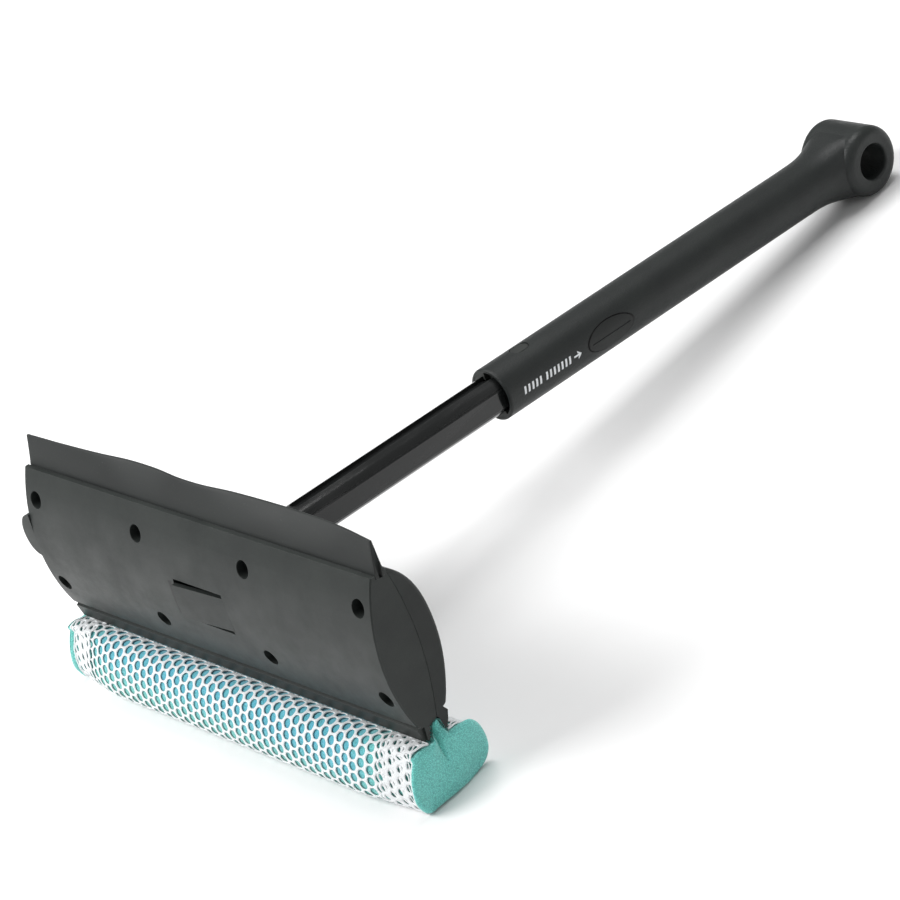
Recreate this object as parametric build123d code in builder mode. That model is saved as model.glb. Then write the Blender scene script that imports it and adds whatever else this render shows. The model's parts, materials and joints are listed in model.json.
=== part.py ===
from build123d import *
import math
import os

# A window cleaning squeegee: a wide two-shell head with a rubber blade along its top and a netted foam
# roll along its bottom, on a grooved shaft that slides and latches in a hollow grip.
#
# It lies as it would on a table, on the foam roll and on the boss at the grip's far end.
# X runs along the head, +Y from the face towards the hanging end, +Z up. Millimetres.
# Profiles are drawn in the handle's own directions: a is the distance along the handle's axis from the
# middle of the face, u is the height above that axis.

# ---- the handle's place ----
tilt = 8.0                    # fall of the handle towards its hanging end, degrees
x_start = 2.5                 # moves the tabbed end's extra length to both sides of the origin
y_start = -217.87
boss_a = 442.2                # middle of the hanging boss
boss_radius = 18.3
z_start = boss_radius + boss_a * math.sin(math.radians(tilt))

# ---- head ----
head_half = 127.0             # half of the head's length
rear_half = 127.2
tab_u = 0.5                   # thumb tab on the left end
tab_size = (8.0, 11.0)        # how far it stands out, half of its height
head_wall = 2.2
face_top = (6.1, 33.7)
face_middle = (-1.8, -4.0)
face_bottom = (6.0, -40.7)
seam_top = (14.7, 32.9)
seam_middle = (20.4, -4.0)
seam_bottom = (17.0, -41.8)
jaw_low = (10.2, -49.4)       # toothed side of the front jaw
jaw_high = (11.9, -43.9)
jaw_teeth = 3
screw_x = [-118.5, -39.5, 39.5, 118.5]
screw_u = [19.9, -25.5]
screw_hole_radius = 4.2
screw_seat_a = 8.8
screw_tip_a = 22.8
tongue_x = (-15.0, 19.5)      # free end, root
tongue_u = (-16.0, 1.5)
tongue_lift = 3.4             # degrees that the tongue stands out of the face
slit = 1.8
back_points = [(24.8, -38.1), (30.2, -20.0), (30.9, 2.3), (25.0, 23.0), (15.2, 33.7)]
back_inner = [(23.2, -36.0), (27.9, -19.5), (28.6, 2.0), (23.2, 21.2), (16.6, 29.6)]

# ---- blade and foam ----
blade_foot_half = 126.6
bead_half = 125.2
blade_tip_half = 124.2
channel = (8.5, 13.6)         # sides of the blade's channel
neck = (10.0, 12.4)
shoulder_u = 31.6
bead_centre = (11.2, 27.2)
bead_radius = 2.5
foam_half = 130.0
net_half = 126.4
net_thickness = 0.9
net_gap = 0.12                # between the foam and the net's inside

# ---- shaft ----
shaft_radius = 9.95
shaft_flat = 8.9              # distance of each side facet from the axis
shaft_end_a = 337.5
line_angles = (32, 148, 212, 328)
groove_start_a = 59.4
groove_width = 6.0
groove_depth = 2.5
plate_a = (17.2, 20.2)        # plate at the shaft's foot, held between the shells
plate_half = 26.0

# ---- grip ----
grip_radius = 13.65
bore_radius = 12.0
mouth_a = 184.5
bore_end_a = 416.5
hang_radius = 9.25
boss_half = 18.0
# sections of the neck that widens into the boss: distance before the boss, half-width, half-height,
# corner radius
boss_neck = [(41.0, 13.64, 13.64, 13.5), (33.0, 13.74, 13.7, 13.5), (25.0, 14.4, 14.3, 13.6),
             (15.0, 16.2, 16.0, 12.6), (6.5, 17.8, 16.9, 10.0)]
bushing_a = (187.4, 231.0)
lug_a = 207.6

# ---- latch ----
latch_a = 253.2
latch_travel = 1.7
latch_pitch = 22.5
notch_count = 7
rest_gap = 0.3
chamber_radius = 12.7
chamber_a = (238.0, 268.4)
button_half_length = 15.75
button_half_width = 7.0
spring_thickness = 0.25

cos_t = math.cos(math.radians(tilt))
sin_t = math.sin(math.radians(tilt))
along = Vector(0, cos_t, -sin_t)
up = Vector(0, sin_t, cos_t)
start = Vector(x_start, y_start, z_start)
side_plane = Plane(origin=start, x_dir=along, z_dir=(1, 0, 0))
screw_spots = [(x, u) for x in screw_x for u in screw_u]


def across(a):
    """Plane across the handle at a: local x is X, local y is u, and it faces the head."""
    return Plane(origin=start + along * a, x_dir=(1, 0, 0), z_dir=-along)


def beside(x):
    """Plane parallel to the head's profile at X = x: local x is a, local y is u."""
    return Plane(origin=start + Vector(x, 0, 0), x_dir=along, z_dir=(1, 0, 0))


def over(u, side=1):
    """Plane parallel to the handle's axis, u above it (side 1) or below it (side -1), facing away."""
    return Plane(origin=start + up * side * u, x_dir=along, z_dir=up * side)


def face_depth(u, inset=0.0):
    """a of the face's surface at height u, moved in by inset."""
    radius = 92.0
    return face_middle[0] + inset + radius - math.sqrt(radius**2 - (u - face_middle[1]) ** 2)


def table_u(a):
    """Height u of the table's surface under the point a."""
    return (a * sin_t - z_start) / cos_t


def save(piece, name):
    piece.part.label = name
    export_step(piece.part, f"parts/{name}.step")


os.makedirs("parts", exist_ok=True)

# ======================================================================================= front shell
teeth = []
for i in range(jaw_teeth):
    for share, depth in ((0.0, 0.0), (0.5, 0.9)):
        t = (i + share) / jaw_teeth
        teeth.append((
            jaw_low[0] + t * (jaw_high[0] - jaw_low[0]) + depth,
            jaw_low[1] + t * (jaw_high[1] - jaw_low[1]),
        ))

with BuildSketch(side_plane) as front_outline:
    with BuildLine():
        ThreePointArc(face_top, face_middle, face_bottom)
        Polyline(face_bottom, (7.4, -41.2), (7.4, -42.4), (6.3, -43.0), (8.3, -50.0), *teeth,
                 jaw_high, seam_bottom)
        ThreePointArc(seam_bottom, seam_middle, seam_top)
        Polyline(seam_top, (14.6, face_top[1]), face_top)
    make_face()

with BuildSketch(side_plane) as channel_outline:
    with Locations(((channel[0] + channel[1]) / 2, shoulder_u + 1.5)):
        Rectangle(channel[1] - channel[0], 3.0)

with BuildSketch(side_plane) as bead_outline:
    with Locations(((neck[0] + neck[1]) / 2, 30.0)):
        Rectangle(neck[1] - neck[0], 4.0)
    with Locations(bead_centre):
        Circle(bead_radius)

with BuildPart() as front_shell:
    extrude(front_outline.sketch, amount=head_half, both=True)
    face_ends = front_shell.edges().filter_by(GeomType.CIRCLE).filter_by(
        lambda e: abs(abs(e.center().X - x_start) - head_half) < 0.01
        and side_plane.to_local_coords(e.center()).X < 8
    )
    chamfer(face_ends, 0.6)
    # thumb tab that carries the face on past its left end
    with BuildSketch(across(2.0)):
        with Locations((-head_half + 1.0, tab_u)):
            Ellipse(tab_size[0] + 1.0, tab_size[1])
        with Locations((-head_half + 11.0, tab_u)):
            Rectangle(20.0, 30.0, mode=Mode.SUBTRACT)
    extrude(amount=2.0 - face_middle[0] - 0.15)
    # hollow behind the face, under the blade's channel
    with BuildSketch(side_plane):
        with BuildLine():
            ThreePointArc((face_depth(21.5, head_wall), 21.5), (face_middle[0] + head_wall, -4.0),
                          (face_depth(-37.5, head_wall), -37.5))
            Polyline((face_depth(-37.5, head_wall), -37.5), (24, -37.5), (24, 21.5),
                     (face_depth(21.5, head_wall), 21.5))
        make_face()
    extrude(amount=head_half - head_wall, both=True, mode=Mode.SUBTRACT)
    # screw bosses, and a rib each side of the tongue that presses on the shaft's foot
    with BuildSketch(across(21.0)):
        with Locations(screw_spots):
            Circle(6.0)
    extrude(amount=19.6)
    with BuildSketch(across(plate_a[0] - 0.05)):
        with Locations((-23.5, 0), (23.5, 0)):
            Rectangle(2.4, 22.0)
    extrude(amount=17.5)
    with BuildSketch(side_plane):
        add(front_outline.sketch_local)
        with Locations((1.0, tab_u)):
            Rectangle(6.0, 2 * tab_size[1] + 1)
    extrude(amount=head_half + tab_size[0] + 1, both=True, mode=Mode.INTERSECT)
    extrude(channel_outline.sketch, amount=head_half + 1, both=True, mode=Mode.SUBTRACT)
    extrude(bead_outline.sketch, amount=bead_half + 0.1, both=True, mode=Mode.SUBTRACT)
    # the front jaw stops a little short of the end walls
    with BuildSketch(beside(head_half - 1.4), beside(-head_half - 0.6)):
        with BuildLine():
            Polyline((4, -42.4), (9.4, -42.4), (9.4, -51), (4, -51), close=True)
        make_face()
    extrude(amount=2.0, mode=Mode.SUBTRACT)
    # deep screw holes, and pilot holes through the seats at their bottoms
    with BuildSketch(across(screw_seat_a)):
        with Locations(screw_spots):
            Circle(screw_hole_radius)
    extrude(amount=14, mode=Mode.SUBTRACT)
    with BuildSketch(across(24)):
        with Locations(screw_spots):
            Circle(1.75)
    extrude(amount=20, mode=Mode.SUBTRACT)
    # window for the snap tongue, then the tongue, which leans out of the face from its root
    with BuildSketch(across(4.0)):
        with BuildLine():
            Polyline((tongue_x[0] - 0.9, tongue_u[0] - slit), (tongue_x[1], tongue_u[0] - slit),
                     (tongue_x[1], tongue_u[1] + slit), (tongue_x[0] - 0.9, tongue_u[1] + slit),
                     close=True)
        make_face()
    extrude(amount=8, mode=Mode.SUBTRACT)
    lean = math.radians(tongue_lift)
    tongue_plane = Plane(
        origin=start + Vector(tongue_x[1] + 1.0, 0, 0),
        x_dir=along * math.cos(lean) - Vector(math.sin(lean), 0, 0),
        z_dir=Vector(-math.cos(lean), 0, 0) - along * math.sin(lean),
    )
    low, high = tongue_u
    middle = (low + high) / 2
    with BuildSketch(tongue_plane):
        with BuildLine():
            ThreePointArc((face_depth(low), -low), (face_depth(middle), -middle), (face_depth(high), -high))
            Line((face_depth(high), -high), (face_depth(high, head_wall), -high))
            ThreePointArc((face_depth(high, head_wall), -high), (face_depth(middle, head_wall), -middle),
                          (face_depth(low, head_wall), -low))
            Line((face_depth(low, head_wall), -low), (face_depth(low), -low))
        make_face()
    extrude(amount=tongue_x[1] - tongue_x[0] + 1.0)
save(front_shell, "front_shell")

# ======================================================================================== rear shell
with BuildSketch(side_plane) as rear_outline:
    with BuildLine():
        Polyline(seam_bottom, (18.0, -42.9), (19.5, -49.2), (20.5, -49.5), (22.1, -46.2), (23.4, -42.0),
                 (21.5, -39.3), back_points[0])
        Spline(*back_points)
        Polyline(back_points[-1], (14.6, face_top[1]), seam_top)
        ThreePointArc(seam_top, seam_middle, seam_bottom)
    make_face()

with BuildPart() as rear_shell:
    extrude(rear_outline.sketch, amount=rear_half, both=True)
    # rounded edge where the domed back meets each end
    dome_ends = rear_shell.edges().filter_by(GeomType.BSPLINE).filter_by(
        lambda e: abs(abs(e.center().X - x_start) - rear_half) < 0.01
    )
    fillet(dome_ends, 2.0)
    with BuildSketch(side_plane):
        with BuildLine():
            Spline(*back_inner)
            Polyline(back_inner[-1], (12.0, 29.6), (12.0, -36.0), back_inner[0])
        make_face()
    extrude(amount=head_half - head_wall, both=True, mode=Mode.SUBTRACT)
    # posts that take the screws, and the pad behind the shaft's foot
    with BuildSketch(across(32.0)):
        with Locations(screw_spots):
            Circle(4.2)
        Rectangle(2 * plate_half + 4, 28)
    extrude(amount=18)
    extrude(rear_outline.sketch, amount=rear_half, both=True, mode=Mode.INTERSECT)
    # pocket for the foot plate
    with BuildSketch(across(plate_a[1] + 0.05)):
        Rectangle(2 * plate_half + 0.6, 20.6)
    extrude(amount=8, mode=Mode.SUBTRACT)
    # neck round the shaft
    with BuildSketch(across(26.0)):
        Circle(15.5)
    with BuildSketch(across(44.0)):
        Circle(13.2)
    loft()
    neck_rim = rear_shell.edges().filter_by(GeomType.CIRCLE).sort_by(Axis(start, along))[-1]
    fillet(neck_rim, 1.5)
    with BuildSketch(across(50.0)):
        Circle(shaft_radius + 0.05)
    extrude(amount=40, mode=Mode.SUBTRACT)
    with BuildSketch(across(screw_tip_a + 0.6)):
        with Locations(screw_spots):
            Circle(1.5)
    extrude(amount=12, mode=Mode.SUBTRACT)
save(rear_shell, "rear_shell")

# ============================================================================================= blade
with BuildSketch(side_plane) as blade_section:
    with BuildLine():
        Polyline((11.1, 48.7), (12.3, 48.5), (channel[1], 34.2), (channel[1] - 0.1, shoulder_u + 0.1),
                 (channel[0] + 0.1, shoulder_u + 0.1), (channel[0] + 0.1, 34.2), close=True)
    make_face()

with BuildSketch(side_plane) as blade_bead:
    with Locations(((neck[0] + neck[1]) / 2, 30.0)):
        Rectangle(neck[1] - neck[0] - 0.2, 3.6)
    with Locations(bead_centre):
        Circle(bead_radius - 0.1)

with BuildPart() as squeegee_blade:
    extrude(blade_section.sketch, amount=blade_foot_half, both=True)
    extrude(blade_bead.sketch, amount=bead_half, both=True)
    # the ends lean in towards the lip
    for side in (-1, 1):
        with BuildSketch(across(20.0)):
            with BuildLine():
                Polyline((side * blade_foot_half, 35.0), (side * blade_tip_half, 48.8),
                         (side * blade_tip_half, 55.0), (side * 135, 55.0), (side * 135, 35.0),
                         close=True)
            make_face()
        extrude(amount=20, mode=Mode.SUBTRACT)
save(squeegee_blade, "squeegee_blade")

# ==================================================================================== foam and its net
flat_front, flat_rear = 2.0, 17.0


def roll_on_table(a):
    """Point of the foam's underside at a, the net's thickness above the table."""
    return (a, table_u(a) + net_thickness + 0.085)


roll_rear = [roll_on_table(flat_rear), (23.4, -76.7), (29.4, -74.0), (33.2, -69.0), (33.4, -62.0),
             (30.6, -55.2), (26.2, -51.8), (20.6, -51.1)]
roll_front = [(7.9, -51.6), (3.0, -50.2), (-3.0, -52.1), (-7.4, -58.4), (-9.6, -67.0), (-9.2, -73.6),
              (-5.0, -78.6), roll_on_table(flat_front)]

with BuildSketch(side_plane) as roll_outline:
    with BuildLine():
        rear_curve = Spline(*roll_rear)
        Line(roll_rear[-1], roll_front[0])
        front_curve = Spline(*roll_front)
        Line(roll_front[-1], roll_rear[0])
    make_face()

with BuildSketch(side_plane) as foam_outline:
    add(roll_outline.sketch_local)
    # both edges of the folded slab, going up between the jaws
    with BuildLine():
        Polyline((19.0, -54.0), (19.2, -49.4), (17.8, -43.2), (16.8, -42.4), (13.8, -43.3), (13.1, -44.0),
                 (11.4, -49.7), (11.4, -54.0), close=True)
    make_face()

with BuildPart() as sponge_foam:
    extrude(foam_outline.sketch, amount=foam_half, both=True)
save(sponge_foam, "sponge_foam")


def outside(curve, distance, count=25):
    """Points at that distance outside one of the roll's curves."""
    shares = [i / (count - 1) for i in range(count)]
    return [curve @ t + (curve % t).rotate(Axis.Z, -90) * distance for t in shares]


with BuildSketch(side_plane) as net_outline:
    rear_in, rear_out = outside(rear_curve, net_gap), outside(rear_curve, net_thickness)
    front_in, front_out = outside(front_curve, net_gap), outside(front_curve, net_thickness)
    with BuildLine():
        Spline(*rear_out)
        Line(rear_out[-1], rear_in[-1])
        Spline(*rear_in[::-1])
        Line(rear_in[0], front_in[-1])
        Spline(*front_in[::-1])
        Line(front_in[0], front_out[0])
        Spline(*front_out)
        Line(front_out[-1], rear_out[0])
    make_face()

with BuildPart() as sponge_net:
    extrude(net_outline.sketch, amount=net_half, both=True)
save(sponge_net, "sponge_net")

# ============================================================================================ screws
with BuildPart() as shell_screws:
    with BuildSketch(across(screw_seat_a)):
        with Locations(screw_spots):
            Circle(3.6)
    extrude(amount=2.4)
    with BuildSketch(across(screw_tip_a)):
        with Locations(screw_spots):
            Circle(1.45)
    extrude(amount=screw_tip_a - screw_seat_a)
    # cross recess
    with BuildSketch(across(screw_seat_a - 1.0)):
        with Locations(screw_spots):
            Rectangle(3.8, 0.9)
            Rectangle(0.9, 3.8)
    extrude(amount=3, mode=Mode.SUBTRACT)
save(shell_screws, "shell_screws")

# ============================================================================================= shaft
with BuildPart() as shaft:
    with BuildSketch(across(shaft_end_a)):
        Circle(shaft_radius)
    extrude(amount=shaft_end_a - plate_a[0])
    with BuildSketch(across(plate_a[1])):
        RectangleRounded(2 * plate_half, 20.0, 3.0)
    extrude(amount=plate_a[1] - plate_a[0])
    # side facets
    with BuildSketch(across(shaft_end_a + 1)):
        with Locations((shaft_flat + 5, 0), (-shaft_flat - 5, 0)):
            Rectangle(10, 30)
    extrude(amount=shaft_end_a + 1 - 56.0, mode=Mode.SUBTRACT)
    # grooves along the top and the bottom, round-ended towards the head
    groove_length = shaft_end_a + 20 - groove_start_a
    for side in (-1, 1):
        with BuildSketch(over(shaft_radius, side)):
            with Locations((groove_start_a + groove_length / 2, 0)):
                SlotOverall(groove_length, groove_width)
        extrude(amount=-groove_depth, mode=Mode.SUBTRACT)
    # fine line drawn beside each facet
    with BuildSketch(across(shaft_end_a + 1)):
        with Locations([
            (shaft_radius * math.cos(math.radians(w)), shaft_radius * math.sin(math.radians(w)))
            for w in line_angles
        ]):
            Circle(0.3)
    extrude(amount=shaft_end_a + 1 - 56.0, mode=Mode.SUBTRACT)
    # hollow from the inner end
    with BuildSketch(across(shaft_end_a)):
        Circle(5.0)
    extrude(amount=shaft_end_a - 75.0, mode=Mode.SUBTRACT)
    # latch notches in the facet away from the button
    notch_first = latch_a - latch_pitch * (notch_count - 1) / 2
    with BuildSketch(beside(-shaft_flat)):
        with Locations([(notch_first + latch_pitch * i, 0) for i in range(notch_count)]):
            Rectangle(4.4, 12.0)
    extrude(amount=1.6, both=True, mode=Mode.SUBTRACT)
save(shaft, "shaft")

with BuildPart() as shaft_end_guide:
    with BuildSketch(across(shaft_end_a + 10.0)):
        Circle(bore_radius - 0.08)
    extrude(amount=9.95)
    chamfer(shaft_end_guide.edges().filter_by(GeomType.CIRCLE), 0.8)
    with BuildSketch(across(shaft_end_a + 0.1)):
        Circle(4.96)
    extrude(amount=16.0)
save(shaft_end_guide, "shaft_end_guide")

# ============================================================================================== grip
rim = 1.2
rim_x = boss_half - rim
rim_r = hang_radius + rim
rim_mid = rim * math.sqrt(0.5)

with BuildPart() as grip_tube:
    with BuildSketch(across(boss_a)):
        Circle(grip_radius)
    extrude(amount=boss_a - mouth_a)
    # neck that widens into the boss
    for before, half_x, half_u, corner in boss_neck:
        with BuildSketch(across(boss_a - before)):
            RectangleRounded(2 * half_x, 2 * half_u, corner)
    loft()
    # boss across the end
    with BuildSketch(beside(-boss_half)):
        with Locations((boss_a, 0)):
            Circle(boss_radius)
    extrude(amount=2 * boss_half)
    boss_rims = grip_tube.edges().filter_by(
        lambda e: abs(abs(e.center().X - x_start) - boss_half) < 0.01 and e.length > 10
    )
    fillet(boss_rims, 5.0)
    # bore for the shaft, wider round the latch
    with BuildSketch(across(bore_end_a)):
        Circle(bore_radius)
    extrude(amount=bore_end_a - mouth_a + 1, mode=Mode.SUBTRACT)
    with BuildSketch(across(chamber_a[1])):
        Circle(chamber_radius)
    extrude(amount=chamber_a[1] - chamber_a[0], mode=Mode.SUBTRACT)
    mouth_rim = grip_tube.edges().filter_by(GeomType.CIRCLE).filter_by(
        lambda e: abs(e.radius - grip_radius) < 0.01
    ).sort_by(Axis(start, along))[0]
    fillet(mouth_rim, 1.1)
    # hanging hole, with rounded rims
    with BuildSketch(Plane(origin=start + along * boss_a, x_dir=(1, 0, 0), z_dir=up)):
        with BuildLine():
            Polyline((-boss_half, rim_r), (-boss_half - 2, rim_r), (-boss_half - 2, 0), (boss_half + 2, 0),
                     (boss_half + 2, rim_r), (boss_half, rim_r))
            ThreePointArc((boss_half, rim_r), (rim_x + rim_mid, rim_r - rim_mid), (rim_x, hang_radius))
            Line((rim_x, hang_radius), (-rim_x, hang_radius))
            ThreePointArc((-rim_x, hang_radius), (-rim_x - rim_mid, rim_r - rim_mid), (-boss_half, rim_r))
        make_face()
    revolve(axis=Axis(start + along * boss_a, (1, 0, 0)), mode=Mode.SUBTRACT)
    # oval window for the button
    with BuildSketch(beside(8.0)):
        with Locations((latch_a, 0)):
            Ellipse(button_half_length, button_half_width)
    extrude(amount=8, mode=Mode.SUBTRACT)
    # oval windows that the bushing's lugs snap into
    for side in (-1, 1):
        with BuildSketch(over(11.0, side)):
            with Locations((lug_a, 0)):
                SlotOverall(10.4, 8.0)
        extrude(amount=4, mode=Mode.SUBTRACT)
save(grip_tube, "grip_tube")

# =========================================================================================== bushing
with BuildPart() as guide_bushing:
    with BuildSketch(across(bushing_a[1])):
        Circle(bore_radius - 0.03)
    extrude(amount=bushing_a[1] - bushing_a[0])
    # lugs
    for side in (-1, 1):
        with BuildSketch(over(10.5, side)):
            with Locations((lug_a, 0)):
                SlotOverall(9.6, 7.2)
        extrude(amount=2.6)
    # collar that fills part of the mouth
    gap_low = math.radians(-49)
    gap_high = math.radians(99)
    with BuildSketch(across(bushing_a[0])):
        Circle(bore_radius - 0.03)
        with BuildLine():
            Polyline((0, 0), (30 * math.cos(gap_low), 30 * math.sin(gap_low)), (40, 14),
                     (30 * math.cos(gap_high), 30 * math.sin(gap_high)), close=True)
        make_face(mode=Mode.SUBTRACT)
    extrude(amount=bushing_a[0] - mouth_a - 0.2)
    # way through for the shaft, with a key for each of its grooves
    with BuildSketch(across(bushing_a[1] + 1)):
        Circle(shaft_radius + 0.08)
        with Locations((shaft_flat + 0.08 + 5, 0), (-shaft_flat - 0.08 - 5, 0)):
            Rectangle(10, 30, mode=Mode.SUBTRACT)
        key_height = shaft_radius - groove_depth + 0.4
        with Locations((0, key_height + 5), (0, -key_height - 5)):
            Rectangle(groove_width - 0.6, 10, mode=Mode.SUBTRACT)
    extrude(amount=60, mode=Mode.SUBTRACT)
save(guide_bushing, "guide_bushing")

# ============================================================================================= latch
yoke_half = 10.0
yoke_radius = chamber_radius - rest_gap

with BuildPart() as latch_yoke:
    with BuildSketch(across(latch_a + yoke_half)):
        Circle(yoke_radius)
        with Locations((latch_travel, 0)):
            Circle(yoke_radius, mode=Mode.INTERSECT)
    extrude(amount=2 * yoke_half)
    # way through: the shaft's section, stretched by the button's travel
    with BuildSketch(across(latch_a + yoke_half + 1)):
        with Locations((latch_travel / 2, 0)):
            SlotOverall(2 * (shaft_radius + rest_gap) + latch_travel, 2 * (shaft_radius + rest_gap))
            Rectangle(2 * (shaft_flat + rest_gap) + latch_travel, 30, mode=Mode.INTERSECT)
    extrude(amount=2 * yoke_half + 2, mode=Mode.SUBTRACT)
    # tooth
    with BuildSketch(beside(-shaft_flat - rest_gap - 0.5)):
        with Locations((latch_a, 0)):
            Rectangle(3.6, 7.6)
    extrude(amount=1.9)
save(latch_yoke, "latch_yoke")

with BuildPart() as release_button:
    with BuildSketch(across(latch_a + 20)):
        Circle(grip_radius + 0.25)
        Circle(yoke_radius + 0.02, mode=Mode.SUBTRACT)
    extrude(amount=40)
    with BuildSketch(beside(8.0)):
        with Locations((latch_a, 0)):
            Ellipse(button_half_length - 0.3, button_half_width - 0.3)
    extrude(amount=8, mode=Mode.INTERSECT)
    # groove along the middle
    with BuildSketch(beside(grip_radius - 0.1)):
        with Locations((latch_a, 0)):
            Rectangle(26.0, 0.7)
    extrude(amount=2, mode=Mode.SUBTRACT)
save(release_button, "release_button")

# The bowed spring: its ends bear on the grip's wall, its middle on the yoke.
spring_half = 9.5
spring_foot = chamber_radius - 0.35
spring_crown = yoke_radius - latch_travel + 0.05
with BuildPart() as latch_spring:
    with BuildSketch(Plane(origin=start - up * 2.5, x_dir=along, z_dir=up)):
        with BuildLine():
            ThreePointArc((latch_a - spring_half, spring_foot),
                          (latch_a, spring_crown + spring_thickness),
                          (latch_a + spring_half, spring_foot))
            Line((latch_a + spring_half, spring_foot),
                 (latch_a + spring_half, spring_foot - spring_thickness))
            ThreePointArc((latch_a + spring_half, spring_foot - spring_thickness),
                          (latch_a, spring_crown),
                          (latch_a - spring_half, spring_foot - spring_thickness))
            Line((latch_a - spring_half, spring_foot - spring_thickness),
                 (latch_a - spring_half, spring_foot))
        make_face()
    extrude(amount=5.0)
save(latch_spring, "latch_spring")
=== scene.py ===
"""A window cleaning squeegee: two-shell head with a rubber blade and a netted foam roll, on a shaft
that slides in a hollow grip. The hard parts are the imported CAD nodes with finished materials. The
blade, the foam, its net, the latch spring and the printed mark are built here."""

import json
import math

import bpy
import numpy as np
from mathutils import Matrix, Vector


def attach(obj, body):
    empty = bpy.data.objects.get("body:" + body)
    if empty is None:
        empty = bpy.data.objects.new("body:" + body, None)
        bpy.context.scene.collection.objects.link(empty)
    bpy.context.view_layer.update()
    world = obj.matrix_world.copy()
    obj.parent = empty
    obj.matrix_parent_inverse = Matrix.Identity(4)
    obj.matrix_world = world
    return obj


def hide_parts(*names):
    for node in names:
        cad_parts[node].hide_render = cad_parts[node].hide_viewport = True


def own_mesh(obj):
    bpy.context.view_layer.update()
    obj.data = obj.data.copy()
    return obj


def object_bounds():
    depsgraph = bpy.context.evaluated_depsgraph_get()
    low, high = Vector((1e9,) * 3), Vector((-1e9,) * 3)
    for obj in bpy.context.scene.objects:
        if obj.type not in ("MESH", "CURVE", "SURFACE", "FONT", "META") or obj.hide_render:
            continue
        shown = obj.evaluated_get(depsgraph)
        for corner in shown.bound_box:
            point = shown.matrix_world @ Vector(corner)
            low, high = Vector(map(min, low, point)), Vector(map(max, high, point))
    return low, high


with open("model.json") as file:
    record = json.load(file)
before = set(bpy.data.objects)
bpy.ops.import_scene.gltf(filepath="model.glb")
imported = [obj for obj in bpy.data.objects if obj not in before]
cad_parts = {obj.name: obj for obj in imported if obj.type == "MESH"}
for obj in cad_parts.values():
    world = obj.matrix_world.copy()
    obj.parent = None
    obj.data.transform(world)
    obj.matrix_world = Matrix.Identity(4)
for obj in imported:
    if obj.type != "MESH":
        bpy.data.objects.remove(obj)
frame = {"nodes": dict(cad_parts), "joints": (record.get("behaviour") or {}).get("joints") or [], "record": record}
cad_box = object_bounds()
rng = np.random.default_rng(7)

# ------------------------------------------------------------------ the handle's own directions
# x runs along the head, a along the handle from the middle of the face, u above the handle's axis.
MM = 0.001
HOLE_A = 442.2  # the hanging hole's distance from the face
GRIP_RADIUS = 13.65
BUTTON_A, BUTTON_HALF_LENGTH, BUTTON_HALF_WIDTH = 253.2, 15.6, 6.85

slide = next(j for j in frame["joints"] if j["name"] == "handle_slide")
hole = next(m for m in frame["record"]["mounts"] if m["name"] == "hanging_hole")
along = np.array(slide["axis"]) * -1.0
along /= np.linalg.norm(along)
up = np.array([0.0, -along[2], along[1]])
start = np.array(hole["pos_m"]) - along * HOLE_A * MM
axes = np.array([[1.0, 0.0, 0.0], along, up])


def place(x, a, u):
    """Points of the row frame, in metres, from x, a and u in millimetres."""
    x, a, u = np.broadcast_arrays(np.asarray(x, float), a, u)
    return start + np.stack([x, a, u], -1) @ axes * MM


def own(points):
    """x, a and u in millimetres of points of the row frame."""
    return (np.asarray(points) - start) @ axes.T / MM


def direction(x, a, u):
    return Vector(np.array([x, a, u], float) @ axes).normalized()


def smooth_step(low, high, value):
    t = np.clip((np.asarray(value, float) - low) / (high - low), 0, 1)
    return t * t * (3 - 2 * t)


# ------------------------------------------------------------------------------ mesh building
def mesh_piece(name, points, faces, material, body, shade=True):
    mesh = bpy.data.meshes.new(name)
    mesh.from_pydata([tuple(p) for p in points], [], [tuple(f) for f in faces])
    mesh.validate()
    mesh.update()
    mesh.shade_smooth() if shade else mesh.shade_flat()
    piece = bpy.data.objects.new(name, mesh)
    bpy.context.scene.collection.objects.link(piece)
    mesh.materials.append(material)
    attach(piece, body)
    return piece


def ring_faces(rings, count, first=0):
    """Quads between neighbouring closed rings of count points each."""
    return [
        (
            first + r * count + i,
            first + r * count + (i + 1) % count,
            first + (r + 1) * count + (i + 1) % count,
            first + (r + 1) * count + i,
        )
        for r in range(rings - 1)
        for i in range(count)
    ]


def capped_rings(rings, count):
    """The quads between the rings, and a face across the first ring and the last."""
    last = (rings - 1) * count
    return ring_faces(rings, count) + [list(range(count))[::-1], list(range(last, last + count))]


def merged(points, faces, tolerance):
    """The same mesh with the points closer than the tolerance made one."""
    keys = np.round(points / tolerance).astype(np.int64)
    _, first, back = np.unique(keys, axis=0, return_index=True, return_inverse=True)
    back = back.ravel()
    clean = []
    for f in faces:
        g = [int(back[i]) for i in f]
        g = [v for k, v in enumerate(g) if v != g[k - 1]]
        if len(set(g)) == len(g) and len(g) > 2:
            clean.append(g)
    return points[first], clean


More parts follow.
